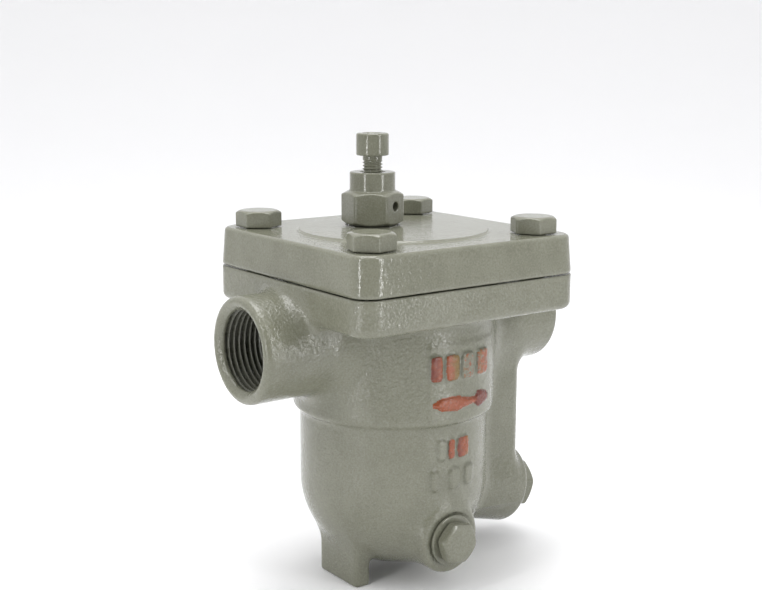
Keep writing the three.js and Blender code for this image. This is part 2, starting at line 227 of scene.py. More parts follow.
# ------------------------------------------------------------------ sizes, in millimetres, as the CAD has them
PORT_Z = 99.7
FACE = 71.0
HALF, CORNER = 51.7, 8.5
FLANGE_LOW, JOINT_Z = 110.0, 123.7
COVER_LOW, COVER_TOP, DISC_TOP, DISC_R = 124.2, 139.25, 140.05, 37.5
POT_R, POT_R2, POT_IN, POT_IN2, POT_MID = 40.4, 37.7, 35.5, 32.7, 40.0
SHOULDER = 69.0
BOLT_PITCH = 38.64
BALL_R, BALL_Z = 28.5, 39.5
TILT = math.radians(15.5)
SEAT = np.array([math.cos(TILT), 0, -math.sin(TILT)])
CENTRE = (0.0, 0.0, BALL_Z)
SEAT_BOSS_R, SEAT_END = 16.8, 61.8
DRAIN = (0.5, 0.0, 22.0)
OUT = (0.0, -1.0, 0.0)
DRAIN_FACE = 37.1
SPOT = 139.0
VENT = (-1.6, 12.1, 0.0)
V_HEX, V_HEX_TOP, V_TOP, V_SEAT, V_WEEP = 140.35, 153.75, 161.3, 142.8, 147.95
SCREW_TIP, SCREW_HEAD, SCREW_TOP = 149.2, 167.8, 176.6
G_CREST, G_ROOT, G_PITCH = 15.15, 16.62, 2.309


# ------------------------------------------------------------------ the casting
def marks(x, y, z, r):
    """Raised blank pads and a flow arrow on the front of the pot, as distances in the unrolled front view."""
    front = np.where(y < 0, 0.0, 50.0)
    mid = 77.8 - 0.02 * x
    thick = np.interp(x, (-10.5, -7.0, 0.0, 3.0, 9.0, 10.5, 12.5, 17.5), (0.5, 2.1, 2.5, 1.5, 0.7, 2.6, 2.9, 1.2))
    out = np.maximum(np.abs(z - mid) - thick, np.maximum(-10.5 - x, x - 17.5))
    for x0, w in ((-12.2, 4.8), (-6.0, 6.0), (1.5, 6.0), (9.8, 7.0)):
        out = np.minimum(out, rrect(x, z, x0 + w / 2, 92.0, w / 2, 4.9, 1.6))
    for x0, w in ((-6.8, 3.8), (-2.1, 3.2), (2.4, 6.2)):
        out = np.minimum(out, rrect(x, z, x0 + w / 2, 59.0, w / 2, 4.0, 1.4))
    for x0, w in ((-9.5, 3.4), (-1.5, 5.4), (6.5, 5.4)):
        out = np.minimum(out, rrect(x, z, x0 + w / 2, 47.0, w / 2, 4.0, 1.5))
    return out + front


def casting(x, y, z):
    r = np.hypot(x, y)
    # the pot: a round-bottomed lower stage and a wider upper stage
    k = POT_R2 / (POT_MID - 3.6)
    zz = np.minimum(z - POT_MID, 0) * k
    low = np.sqrt(r * r + zz * zz) - POT_R2
    low = np.maximum(low, z - 118)
    ang = np.degrees(np.arctan2(y, x))  # the marking plate thickens the front of the upper stage
    side = np.minimum(ang + 109, -55 - ang) * (POT_R * math.pi / 180)
    w = np.clip(side / 1.6, 0, 1) * np.clip((102 - z) / 2.0, 0, 1)
    high = join2(r - POT_R - 0.5 * w * w * (3 - 2 * w), 69.2 - z, 2.2)
    high = np.maximum(high, z - 119)
    pot = smin(low, high, 2.6)
    surf = np.where(z > 68.5, POT_R + 0.5, POT_R2)
    m = join2(marks(x, y, z, r), np.abs(r - surf) - 1.0, 0.45)
    pot = smin(pot, m, 0.7)
    # square flange
    plan = rrect(x, y, 0, 0, HALF, HALF, CORNER)
    flange = join2(plan, FLANGE_LOW - z, 3.0)
    flange = np.maximum(flange, z - JOINT_Z - 6)
    body = smin(pot, flange, 5.0)
    # port bosses
    for s, rr in ((-1, 20.4), (1, 21.0)):
        q = np.hypot(y, z - PORT_Z)
        sx = s * x
        boss = join2(q - rr, sx - FACE, 2.4)
        boss = np.maximum(boss, 28 - sx)
        body = smin(body, boss, 7.0)
    # riser column down to the seat chamber
    col = rrect(x, y, 42.0, 0, 15.0, 14.6, 5.0)
    col = np.maximum(col, np.maximum(22 - z, z - 112))
    s, q = along(x, y, z, CENTRE, SEAT)
    chamber = join2(q - SEAT_BOSS_R, s - SEAT_END, 1.8)
    chamber = np.maximum(chamber, 20 - s)
    col = smin(col, chamber, 5.0)
    body = smin(body, col, 6.5)
    # drain boss
    s, q = along(x, y, z, DRAIN, OUT)
    db = join2(q - 13.7, s - DRAIN_FACE, 1.8)
    db = np.maximum(db, 15 - s)
    body = smin(body, db, 5.0)
    # feet
    for sg in (-1, 1):
        ft = join2(rrect(x, y, sg * 23.9, 0, 3.6, 13.0, 2.0), -z, 0.8)
        ft = np.maximum(ft, z - 24)
        body = smin(body, ft, 4.0)
    return body


def hollow(x, y, z):
    """Everything bored or cored out of the body."""
    r = np.hypot(x, y)
    k = POT_IN2 / (POT_MID - 8.2)
    zz = np.minimum(z - POT_MID, 0) * k
    low = np.sqrt(r * r + zz * zz) - POT_IN2
    high = join2(r - POT_IN, SHOULDER - z, 0.4)
    cav = np.minimum(low, high)
    cav = np.minimum(cav, np.maximum(r - POT_IN - 0.9, np.abs(z - 120.95) - 0.65))
    rail = np.maximum(np.maximum(np.abs(np.abs(y) - 9.5) - 1.5, np.abs(x + 1) - 12), z - 15)
    ball = np.sqrt(r * r + (z - BALL_Z) ** 2) - BALL_R - 0.3
    cav = np.maximum(cav, -np.maximum(rail, -ball))
    out = cav
    for s in (-1, 1):
        q = np.hypot(y, z - PORT_Z)
        sx = s * x
        neck = np.maximum(q - 12.5, (33 if s < 0 else 42.2) - sx)
        sock = np.maximum(q - (G_ROOT + 0.35), np.maximum(FACE - 19 - sx, sx - FACE + 3.3))
        mouth = np.maximum((q - 15.3 - np.clip(sx - FACE + 1.9, 0, None)) * 0.8, FACE - 4 - sx)
        out = np.minimum(out, np.minimum(np.minimum(neck, sock), mouth))
    out = np.minimum(out, np.maximum(np.hypot(x - 47.5, y) - 6.5, np.maximum(26.3 - z, z - PORT_Z)))
    s, q = along(x, y, z, CENTRE, SEAT)
    out = np.minimum(out, np.maximum(q - 9.8, np.maximum(40 - s, s - 55.6)))
    out = np.minimum(out, np.maximum(q - 8.3, 50 - s))
    out = np.minimum(out, np.maximum(q - 6.2, np.maximum(26 - s, s - 42)))
    out = np.minimum(out, np.maximum(q - 13.0, SEAT_END - s))
    s, q = along(x, y, z, DRAIN, OUT)
    out = np.minimum(out, np.maximum(q - 6.3, 20 - s))
    out = np.minimum(out, join2(q - 10.9, DRAIN_FACE - s, 0.3))
    out = np.minimum(out, np.maximum(np.abs(r - 41.1) - 3.4, 122.5 - z))
    for sx in (-1, 1):
        for sy in (-1, 1):
            out = np.minimum(out, np.hypot(x - sx * BOLT_PITCH, y - sy * BOLT_PITCH) - 5.15 + np.where(z > 100, 0, 50))
    return out


def body_field(x, y, z):
    b = smax(casting(x, y, z), z - JOINT_Z, 0.5)
    return smax(b, -hollow(x, y, z), 0.6)


def cover_field(x, y, z):
    k = 0.9 / (COVER_TOP - COVER_LOW) * np.clip(z - COVER_LOW, 0, 20)
    plan = rrect(x, y, 0, 0, HALF - k, HALF - k, CORNER)
    slab = join2(plan, z - COVER_TOP, 1.5)
    r = np.hypot(x, y)
    disc = join2(r - DISC_R, z - DISC_TOP, 0.5)
    out = smin(slab, np.maximum(disc, COVER_TOP - 3 - z), 0.8)
    out = smax(out, COVER_LOW - z, 0.9)
    hol = join2(r - 31, z - COVER_LOW - 5.4, 2.5)
    out = smax(out, -hol, 0.4)
    cut = np.hypot(x - VENT[0], y - VENT[1]) - 7.2
    for sx in (-1, 1):
        for sy in (-1, 1):
            cut = np.minimum(cut, np.hypot(x - sx * BOLT_PITCH, y - sy * BOLT_PITCH) - 5.6)
    cut = np.minimum(cut, join2(np.hypot(x - VENT[0], y - VENT[1]) - 10.6, SPOT - z, 0.1))
    return smax(out, -cut, 0.3)


# ------------------------------------------------------------------ fasteners, vent valve, plugs
def thread_radius(ang, s, pitch, major, depth, hand=1.0):
    """Radius of a 60 degree screw surface at an angle and a place along the axis."""
    ph = (s / pitch - hand * ang / (2 * math.pi)) % 1.0
    saw = np.abs(ph - 0.5) * 2  # 0 at the crest, 1 at the root
    return major - depth * np.clip((saw - 0.12) / 0.76, 0, 1)


def bolt_field(cx, cy, turn):
    under = COVER_TOP + 0.3

    def f(x, y, z):
        head = hexa(x, y, z, (cx, cy, 0), (0, 0, 1), 16.0, under, under + 6.4, turn=math.radians(turn) + math.pi / 6,
                    soft=0.3, end=0.3, chamfer=(0.0, 0.93))
        q = np.hypot(x - cx, y - cy)
        shank = join2(q - 4.8, 113.5 - z, 0.9)
        shank = np.maximum(shank, z - under - 2)
        return smin(head, shank, 0.3)
    return f


def vent_field(x, y, z):
    q = np.hypot(x - VENT[0], y - VENT[1])
    turn = math.radians(21) + math.pi / 6
    hexp = hexa(x, y, z, VENT, (0, 0, 1), 22.0, V_HEX, V_HEX_TOP, turn=turn, soft=0.8, end=0.4, chamfer=(0.9, 0.9))
    collar = join2(q - 9.1, z - V_TOP, 0.55)
    collar = np.maximum(collar, V_HEX_TOP - 3 - z)
    spig = np.maximum(join2(q - 6.9, 130.2 - z, 0.8), z - V_HEX - 2)
    out = smin(smin(hexp, collar, 0.8), spig, 0.2)
    bore = np.maximum(q - 4.25, V_SEAT - z)
    bore = np.minimum(bore, q - 2.2)
    bore = np.minimum(bore, (q - 4.25 + (V_TOP - 0.9 - z)) * 0.707)
    a = math.radians(-69)
    s, w = along(x, y, z, (VENT[0], VENT[1], V_WEEP), (math.cos(a), math.sin(a), 0))
    bore = np.minimum(bore, np.maximum(w - 1.9, -s))
    return smax(out, -bore, 0.35)


def screw_field(x, y, z):
    px, py = x - VENT[0], y - VENT[1]
    q = np.hypot(px, py)
    ang = np.arctan2(py, px)
    rr = thread_radius(ang, z, 1.25, 3.95, 0.66)
    plain = np.clip((z - 165.4) / 0.6, 0, 1)
    rr = rr * (1 - plain) + 3.9 * plain
    stem = (q - rr) * 0.82
    stem = np.maximum(stem, (q - 2.6 - (z - SCREW_TIP)) * 0.707)
    stem = np.maximum(stem, np.maximum(SCREW_TIP - z, z - SCREW_HEAD - 1))
    head = join2(q - 6.5, z - SCREW_TOP, 0.9)
    head = np.maximum(head, join2(q - 6.5, SCREW_HEAD - z, 0.45))
    out = smin(head, stem, 0.35)
    sock = None
    for k in range(3):
        t = k * math.pi / 3
        one = np.abs(px * math.cos(t) + py * math.sin(t)) - 3.0
        sock = one if sock is None else smax(sock, one, 0.15)
    sock = np.maximum(sock, SCREW_TOP - 4.5 - z)
    sock = np.minimum(sock, (q - 3.7 + (SCREW_TOP - z)) * 0.707)
    return smax(out, -sock, 0.3)


def washer_field(at, d, face, ri, ro, t):
    def f(x, y, z):
        s, q = along(x, y, z, at, d)
        ring = join2(np.abs(q - (ri + ro) / 2) - (ro - ri) / 2, np.abs(s - face - 0.3 - t / 2) - t / 2, 0.3)
        return ring
    return f


def plug_field(at, d, face, r, inner, af, high, turn, washer, pitch=1.5):
    base = face + 0.6 + washer
    dd, u, v = axes_of(d)

    def f(x, y, z):
        head = hexa(x, y, z, at, d, af, base, base + high, turn=turn, soft=0.8, end=0.4, chamfer=(0.97, 0.93))
        s, q = along(x, y, z, at, d)
        px, py, pz = x - at[0], y - at[1], z - at[2]
        ang = np.arctan2(px * v[0] + py * v[1] + pz * v[2], px * u[0] + py * u[1] + pz * u[2])
        rr = thread_radius(ang, s, pitch, r, 0.75)
        body = np.maximum((q - rr) * 0.82, (q - r + 1.2 - (s - inner)) * 0.707)
        body = np.maximum(body, np.maximum(inner - s, s - base - 1))
        return smin(head, body, 0.3)
    return f


# ------------------------------------------------------------------ inner pieces
def float_field(x, y, z):
    d = np.sqrt(x * x + y * y + (z - BALL_Z) ** 2)
    weld = 0.12 * np.exp(-((z - BALL_Z) / 0.9) ** 2)
    return d - BALL_R + 0.05 - weld


def thread_sleeve(name, sign, mat):
    """The tapped wall of a port behind its chamfer: a sleeve whose inside is a helical pipe thread."""
    n, per = 96, 16
    length = 19.0
    first = 3.1
    rows = int((length - first) / G_PITCH * per)
    prof = []
    for i in range(rows + 1):
        prof.append(first + (length - first) * i / rows)
    verts, faces = [], []
    for i, s in enumerate(prof):  # s is the depth from the face
        for j in range(n):
            a = 2 * math.pi * j / n
            ph = (s / G_PITCH + sign * a / (2 * math.pi)) % 1.0
            saw = abs(ph - 0.5) * 2
            rr = G_ROOT - (G_ROOT - G_CREST) * min(1, max(0, (saw - 0.14) / 0.72))
            rr = min(rr, G_ROOT + 0.45)
            if s > length - 2.2:
                rr = rr + (G_CREST - 0.2 - rr) * min(1, (s - length + 2.2) / 1.6)
            verts.append((sign * (FACE - 0.15 - s), rr * math.cos(a), PORT_Z + rr * math.sin(a)))
    inner = len(verts)
    for s in (first, length):
        for j in range(n):
            a = 2 * math.pi * j / n
            verts.append((sign * (FACE - 0.15 - s), (G_ROOT + 0.75) * math.cos(a), PORT_Z + (G_ROOT + 0.75) * math.sin(a)))
    quads = []
    for i in range(rows):
        for j in range(n):
            k = (j + 1) % n
            quads.append((i * n + j, i * n + k, (i + 1) * n + k, (i + 1) * n + j))
    for j in range(n):
        k = (j + 1) % n
        o0, o1 = inner, inner + n
        quads.append((o0 + j, o0 + k, k, j))
        quads.append((o1 + k, o1 + j, rows * n + j, rows * n + k))
        quads.append((o0 + k, o0 + j, o1 + j, o1 + k))
    v = np.array(verts)
    q = np.array(quads)
    if sign > 0:
        q = q[:, ::-1]
    return v, q


def strainer_mesh():
    """A sleeve of perforated sheet as rings of quads, with square-cornered holes left out; the turned lip at each end
    is made separately.
    """
    r0, t = 32.7, 0.8
    n, rows = 180, 50
    z0, z1 = SHOULDER + 1.3, 118.9
    keep = np.ones((rows, n), bool)
    for i in range(2, rows - 2):
        for j in range(n):
            if i % 3 and (j + (i // 3 % 2) * 2) % 4 in (0, 1):
                keep[i, j] = False
    verts = []
    for side in (-0.5, 0.5):
        for i in range(rows + 1):
            for j in range(n):
                a = 2 * math.pi * j / n
                rr = r0 + side * t
                verts.append((rr * math.cos(a), rr * math.sin(a), z0 + (z1 - z0) * i / rows))
    off = (rows + 1) * n
    quads = []
    for i in range(rows):
        for j in range(n):
            if not keep[i, j]:
                continue
            k = (j + 1) % n
            a, b, c, d = i * n + j, i * n + k, (i + 1) * n + k, (i + 1) * n + j
            quads.append((off + a, off + b, off + c, off + d))
            quads.append((d, c, b, a))
            if i == 0 or not keep[i - 1, j]:
                quads.append((a, b, off + b, off + a))
            if i == rows - 1 or not keep[i + 1, j]:
                quads.append((c, d, off + d, off + c))
            if not keep[i, (j - 1) % n]:
                quads.append((d, a, off + a, off + d))
            if not keep[i, k]:
                quads.append((b, c, off + c, off + b))
    return np.array(verts), np.array(quads)


def lathe(profile, seg=128, at=(0, 0, 0), d=(0, 0, 1)):
    """Quads of a closed turned ring: profile is [radius, distance] pairs that close on themselves."""
    dd, u, v = axes_of(d)
    p = np.array(profile, float)
    n = len(p)
    a = np.linspace(0, 2 * math.pi, seg, endpoint=False)
    ring = np.cos(a)[:, None] * u + np.sin(a)[:, None] * v
    verts = np.array(at) + p[None, :, 0, None] * ring[:, None, :] + p[None, :, 1, None] * dd
    quads = []
    for i in range(seg):
        j = (i + 1) % seg
        for k in range(n):
            m = (k + 1) % n
            quads.append((i * n + k, j * n + k, j * n + m, i * n + m))
    v = verts.reshape(-1, 3)
    q = np.array(quads)
    a0, b0, c0 = v[q[:, 0]], v[q[:, 1]], v[q[:, 2]]
    vol = np.einsum("ij,ij->i", a0, np.cross(b0, c0)).sum() + np.einsum("ij,ij->i", a0, np.cross(c0, v[q[:, 3]])).sum()
    return v, (q if vol > 0 else q[:, ::-1])


# ------------------------------------------------------------------ materials
class Nodes:
    """A small helper that adds and links shader nodes."""

    def __init__(self, name):
        self.mat = bpy.data.materials.new(name)
        self.mat.use_nodes = True
        self.t = self.mat.node_tree
        self.t.nodes.clear()
        self.out = self.add("ShaderNodeOutputMaterial")
        self.bsdf = self.add("ShaderNodeBsdfPrincipled")
        self.link(self.bsdf.outputs[0], self.out.inputs["Surface"])
        self.coord = self.add("ShaderNodeTexCoord").outputs["Object"]

    def add(self, kind, **props):
        n = self.t.nodes.new(kind)
        for k, v in props.items():
            setattr(n, k, v)
        return n

    def link(self, a, b):
        self.t.links.new(a, b)

    def put(self, socket, value):
        if isinstance(value, bpy.types.NodeSocket):
            self.link(value, socket)
        else:
            socket.default_value = value

    def noise(self, scale, detail=3.0, rough=0.55, stretch=None, seed=0.0, distort=0.0):
        src = self.coord
        if stretch or seed:
            m = self.add("ShaderNodeMapping")
            m.inputs["Location"].default_value = (seed * 0.37, seed * 0.61, seed * 0.23)
            if stretch:
                m.inputs["Scale"].default_value = stretch
            self.link(src, m.inputs["Vector"])
            src = m.outputs[0]
        n = self.add("ShaderNodeTexNoise")
        n.inputs["Scale"].default_value = scale
        n.inputs["Detail"].default_value = detail
        n.inputs["Roughness"].default_value = rough
        n.inputs["Distortion"].default_value = distort
        self.link(src, n.inputs["Vector"])
        return n.outputs[0]

    def voronoi(self, scale, feature="F1", smooth=None):
        n = self.add("ShaderNodeTexVoronoi", feature=feature)
        n.inputs["Scale"].default_value = scale
        if smooth is not None:
            n.inputs["Smoothness"].default_value = smooth
        self.link(self.coord, n.inputs["Vector"])
        return n.outputs["Distance"]

    def ramp(self, src, a, b, lo=0.0, hi=1.0):
        n = self.add("ShaderNodeMapRange", interpolation_type="SMOOTHSTEP")
        self.link(src, n.inputs["Value"])
        n.inputs["From Min"].default_value = a
        n.inputs["From Max"].default_value = b
        n.inputs["To Min"].default_value = lo
        n.inputs["To Max"].default_value = hi
        return n.outputs["Result"]

    def math(self, op, a, b=None, c=None):
        n = self.add("ShaderNodeMath", operation=op)
        self.put(n.inputs[0], a)
        if b is not None:
            self.put(n.inputs[1], b)
        if c is not None:
            self.put(n.inputs[2], c)
        return n.outputs[0]

    def mix(self, fac, a, b):
        n = self.add("ShaderNodeMix", data_type="RGBA")
        self.put(n.inputs[0], fac)
        self.put(n.inputs[6], a)
        self.put(n.inputs[7], b)
        return n.outputs[2]

    def bump(self, height, dist_mm, strength=1.0, after=None):
        n = self.add("ShaderNodeBump")
        n.inputs["Strength"].default_value = strength
        n.inputs["Distance"].default_value = dist_mm / 1000
        self.link(height, n.inputs["Height"])
        if after is not None:
            self.link(after, n.inputs["Normal"])
        return n.outputs[0]

    def attribute(self, name):
        return self.add("ShaderNodeAttribute", attribute_name=name).outputs["Fac"]


ENAMEL = (0.171, 0.173, 0.129, 1)
ENAMEL_DARK = (0.160, 0.162, 0.119, 1)
ENAMEL_LIGHT = (0.182, 0.184, 0.139, 1)


def enamel(name, cast=1.0, rough=0.22, fine=1.0, paint=False, painted_shade_factor=1.0, grit=1.0, peel=0.0):
    """Glossy grey-green enamel. cast is how much sand-casting shows through it. The colour factor scales every colour;
    a factor below 1 is painted shade.
    """
    n = Nodes(name)
    tone = n.noise(55.0, 4.0, 0.6)
    speck = n.noise(1500.0, 3.0, 0.6, seed=1.0)
    # every enamel colour is scaled by the colour factor; below 1 this darkening is painted shade
    tint_of = lambda c: tuple(v * painted_shade_factor for v in c[:3]) + (1,)
    col = n.mix(n.ramp(tone, 0.35, 0.65), tint_of(ENAMEL_DARK), tint_of(ENAMEL_LIGHT))
    col = n.mix(n.ramp(speck, 0.36, 0.50, 0.32, 0.0), col, tint_of((0.110, 0.112, 0.080, 1)))
    col = n.mix(n.ramp(speck, 0.52, 0.66, 0.0, 0.35), col, tint_of((0.235, 0.235, 0.190, 1)))
    dust = n.ramp(n.noise(260.0, 5.0, 0.7, seed=3.0), 0.66, 0.78, 0.0, 0.4)
    col = n.mix(dust, col, tint_of((0.225, 0.222, 0.18, 1)))
    pit = n.voronoi(330.0, "SMOOTH_F1", 0.4)
    pits = n.ramp(pit, 0.02, 0.16)
    rgh = n.ramp(n.noise(420.0, 3.0, 0.6, seed=2.0), 0.3, 0.7, rough * 0.75, rough * 1.35)
    if paint:
        cover = n.attribute("paint")
        wear = n.noise(750.0, 5.0, 0.75, seed=5.0)
        m = n.math("ADD", cover, n.math("MULTIPLY", n.math("SUBTRACT", wear, 0.5), 2.0))
        m = n.ramp(m, 0.42, 0.66)
        hue = n.math("ADD", n.attribute("hue"), n.math("MULTIPLY", n.math("SUBTRACT", n.noise(420.0, 3.0, 0.6, seed=7.0), 0.5), 0.7))
        tint = n.mix(n.ramp(hue, 0.05, 0.45), (0.130, 0.024, 0.012, 1), (0.245, 0.058, 0.018, 1))
        tint = n.mix(n.ramp(hue, 0.55, 0.95), tint, (0.170, 0.105, 0.026, 1))
        tint = n.mix(n.ramp(n.noise(1100.0, 3.0, 0.6, seed=9.0), 0.52, 0.70, 0, 0.55), tint, (0.10, 0.05, 0.028, 1))
        col = n.mix(m, col, tint)
        rgh = n.math("ADD", rgh, n.math("MULTIPLY", m, 0.16))
    n.link(col, n.bsdf.inputs["Base Color"])
    n.link(rgh, n.bsdf.inputs["Roughness"])
    n.bsdf.inputs["IOR"].default_value = 1.52
    b = None
    if cast > 0:
        b = n.bump(n.noise(95.0, 3.0, 0.5, seed=4.0), 0.8, cast * 0.4, b)
        b = n.bump(n.noise(430.0, 3.0, 0.6, seed=6.0), 0.30, cast * 0.7, b)
        b = n.bump(pits, 0.16, cast * 0.5, b)
    b = n.bump(n.noise(1350.0, 3.0, 0.6, seed=8.0), 0.05 * grit, fine, b)
    if peel:
        b = n.bump(n.ramp(n.noise(820.0, 2.0, 0.5, seed=11.0), 0.34, 0.70), 0.09 * peel, 1.0, b)
    n.link(b, n.bsdf.inputs["Normal"])
    return n.mat


def metal(name, col, rough=0.3, lines=None, scale=400.0, depth=0.02):
    """Bare machined metal with turning marks or a brushed grain."""
    n = Nodes(name)
    grain = n.noise(scale, 4.0, 0.6, stretch=lines)
    big = n.noise(70.0, 3.0, 0.5, seed=2.0)
    a = tuple(c * 0.82 for c in col) + (1,)
    b = tuple(min(1, c * 1.12) for c in col) + (1,)
    n.link(n.mix(n.math("MULTIPLY", n.math("ADD", grain, big), 0.5), a, b), n.bsdf.inputs["Base Color"])
    n.bsdf.inputs["Metallic"].default_value = 1.0
    n.link(n.ramp(grain, 0.3, 0.7, rough * 0.75, rough * 1.3), n.bsdf.inputs["Roughness"])
    n.link(n.bump(grain, depth, 0.6), n.bsdf.inputs["Normal"])
    return n.mat


def graphite(name):
    n = Nodes(name)
    g = n.noise(800.0, 5.0, 0.65)
    n.link(n.mix(n.ramp(g, 0.35, 0.65), (0.018, 0.018, 0.019, 1), (0.05, 0.05, 0.052, 1)), n.bsdf.inputs["Base Color"])
    n.link(n.ramp(g, 0.3, 0.7, 0.55, 0.8), n.bsdf.inputs["Roughness"])
    n.link(n.bump(g, 0.06, 0.6), n.bsdf.inputs["Normal"])
    return n.mat


m_body = enamel("enamel_casting", cast=0.8, rough=0.09, paint=True, peel=1.0)
m_cover = enamel("enamel_cover", cast=0.3, rough=0.07, grit=0.5, peel=0.45)
m_part = enamel("enamel_turned", cast=0.0, rough=0.13, grit=0.55)
m_bolt = enamel("enamel_bolt", cast=0.1, rough=0.12, grit=0.6)
# the thread enamel's colours are scaled to 0.52: painted shade for the threads in the shadowed port bores
m_thread_painted_shade = enamel("enamel_thread_painted_shade", cast=0.0, rough=0.3, painted_shade_factor=0.52, grit=0.5)
m_steel = metal("stainless", (0.60, 0.59, 0.57), 0.26, (1, 1, 12), 260.0, 0.01)
m_sheet = metal("stainless_sheet", (0.55, 0.545, 0.53), 0.32, (12, 12, 1), 260.0, 0.01)
m_gasket = graphite("graphite_sheet")

# ------------------------------------------------------------------ pieces
HB = 0.8  # cell sizes
HS = 0.34

body = solid("body_casting", body_field, (-71, -51.7, 0), (71, 51.7, 123.7), HB, "trap", ["body"], m_body)
co = np.empty(len(body.data.vertices) * 3, np.float32)
body.data.vertices.foreach_get("co", co)
co = co.reshape(-1, 3) * 1000
x, y, z = co.T
d = marks(x, y, z, np.hypot(x, y))
r = np.hypot(x, y)
arrow, upper, middle = (z > 72) & (z < 83), (z > 86) & (z < 98), (z > 54) & (z < 64)
proud = np.clip((r - np.where(z > 68.5, POT_R + 0.7, POT_R2 + 0.2)) / 0.5, 0, 1)
edge = np.clip(0.7 - d, 0, 1) / 0.7
wear = np.where(upper, np.interp(x, (-8, -7, 0.5, 1, 8, 9), (0.66, 0.60, 0.66, 0.30, 0.30, 0.46)), 0.0)
wear = np.where(middle, np.interp(x, (-2.7, -2.3), (0.0, 0.60)), wear)
wear = np.where(arrow, 1.15, wear)
paint = np.where(y < 0, np.where(arrow, np.clip(1.0 - d / 0.9, 0, 1), proud * edge) * wear, 0)
hue = np.where(upper, np.interp(x, (-11, -8, -5, -1, 3, 7, 11, 16), (0.12, 0.35, 0.55, 0.95, 0.7, 0.3, 0.75, 0.55)), 0.5)
hue = np.where(middle, np.interp(x, (-2, 1, 3, 7), (0.3, 0.6, 0.1, 0.7)), hue)
hue = np.where(arrow, np.interp(x, (-10, 2, 8.5, 10), (0.5, 0.55, 0.35, 0.0)), hue)
for key, values in (("paint", paint), ("hue", hue)):
    at = body.data.attributes.new(key, "FLOAT", "POINT")
    at.data.foreach_set("value", values.astype(np.float32))

solid("cover_casting", cover_field, (-51.7, -51.7, 124), (51.7, 51.7, 140.3), HB, "trap", ["cover"], m_cover)

for key, (cx, cy, turn) in {"front": (-1, -1, 10.5), "right": (1, -1, 2.5), "left": (-1, 1, 27.5), "rear": (1, 1, 20)}.items():
    cx, cy = cx * BOLT_PITCH, cy * BOLT_PITCH
    solid(f"bolt_{key}", bolt_field(cx, cy, turn), (cx - 9.5, cy - 9.5, 113), (cx + 9.5, cy + 9.5, 146.2), HS, "trap",
          [f"cover_bolt_{key}"], m_bolt)

solid("vent_valve_body", vent_field, (-15, -1.5, 130), (12, 25.5, 161.5), HS, "trap", ["vent_body"], m_part)
solid("vent_seal_ring", washer_field(VENT, (0, 0, 1), SPOT, 7.25, 9.9, 0.75), (-12, 2, 138.8), (9, 22.5, 140.4), 0.25, "trap", ["vent_washer"], m_part)
solid("vent_key_screw", screw_field, (-8.2, 5.5, 149.0), (5, 18.8, 176.7), 0.22, "bleed_screw", ["vent_screw"], m_part)
solid("bleed_ball_fine", lambda x, y, z: np.sqrt((x - VENT[0]) ** 2 + (y - VENT[1]) ** 2 + (z - V_SEAT - 2.62) ** 2) - 3.2,
      (-5, 8.8, 141.8), (1.8, 15.4, 149), 0.3, "bleed_ball", ["vent_ball"], m_steel)

at61 = tuple(np.array(CENTRE) + SEAT * 65)
lo = np.array(CENTRE) + SEAT * 55 - 13
hi = np.array(CENTRE) + SEAT * 74 + 13
solid("seat_chamber_plug", plug_field(CENTRE, SEAT, SEAT_END, 7.7, 56.4, 19.0, 8.4, 0.188, 1.4),
      (53, -11.5, 9.5), (74, 11.5, 36.5), HS, "seat_plug_screw", ["seat_plug"], m_part)
solid("seat_chamber_ring", washer_field(CENTRE, SEAT, SEAT_END, 8.2, 12.2, 1.4), (55, -12.5, 10), (66, 12.5, 36), 0.3,
      "seat_plug_ring", ["seat_plug_washer"], m_part)
solid("drain_hex_plug", plug_field(DRAIN, OUT, DRAIN_FACE, 5.7, 28.4, 15.0, 4.8, 0.314, 1.2),
      (-9, -44.2, 12.5), (10, -28, 31.5), HS, "drain_screw", ["drain_plug"], m_part)
solid("drain_ring_fine", washer_field(DRAIN, OUT, DRAIN_FACE, 6.2, 10.0, 1.2), (-10, -39.2, 11.5), (11, -36.8, 32.5), 0.3,
      "drain_ring", ["drain_plug_washer"], m_part)

for sign, key in ((-1, "inlet"), (1, "outlet")):
    # the tapped port walls carry the thread enamel with its painted shade
    v, q = thread_sleeve(key, sign, m_thread_painted_shade)
    o = add_mesh(f"{key}_thread", v, q, "trap", ["body"], m_thread_painted_shade)

solid("float_shell", float_field, (-29, -29, 10), (29, 29, 69), 1.2, "float", ["float_ball"], m_steel)
v, q = strainer_mesh()
add_mesh("strainer_screen", v, q, "trap", ["strainer"], m_sheet, smooth=False)
for key, z0, z1 in (("low", SHOULDER + 0.3, SHOULDER + 1.3), ("top", 118.9, 119.9)):
    v, q = lathe([(32.2, z0), (35.0, z0), (35.2, z0 + 0.2), (35.2, z1 - 0.2), (35.0, z1), (32.2, z1)], 128)
    add_mesh(f"strainer_lip_{key}", v, q, "trap", ["strainer"], m_sheet, smooth=False)


def seat_field(x, y, z):
    s, q = along(x, y, z, CENTRE, SEAT)
    dd, u, w = axes_of(SEAT)
    ang = np.arctan2(x * w[0] + y * w[1] + (z - BALL_Z) * w[2], x * u[0] + y * u[1] + (z - BALL_Z) * u[2])
    nose = np.maximum(join2(q - 4.4, BALL_R + 0.35 - s, 0.2), s - 34)
    nose = np.maximum(nose, (q - 2.6 - (s - BALL_R - 0.35)) * 0.707)
    thr = np.maximum((q - thread_radius(ang, s, 1.0, 5.9, 0.5)) * 0.8, np.maximum(32.5 - s, s - 42))
    head = hexa(x, y, z, CENTRE, SEAT, 13.0, 41.1, 46.0, soft=0.4, end=0.3, chamfer=(0.95, 0.93))
    out = np.minimum(np.minimum(nose, thr), head)
    bore = np.minimum(q - 1.5, np.maximum(q - 3.2, 36.6 - s))
    return smax(out, -bore, 0.15)


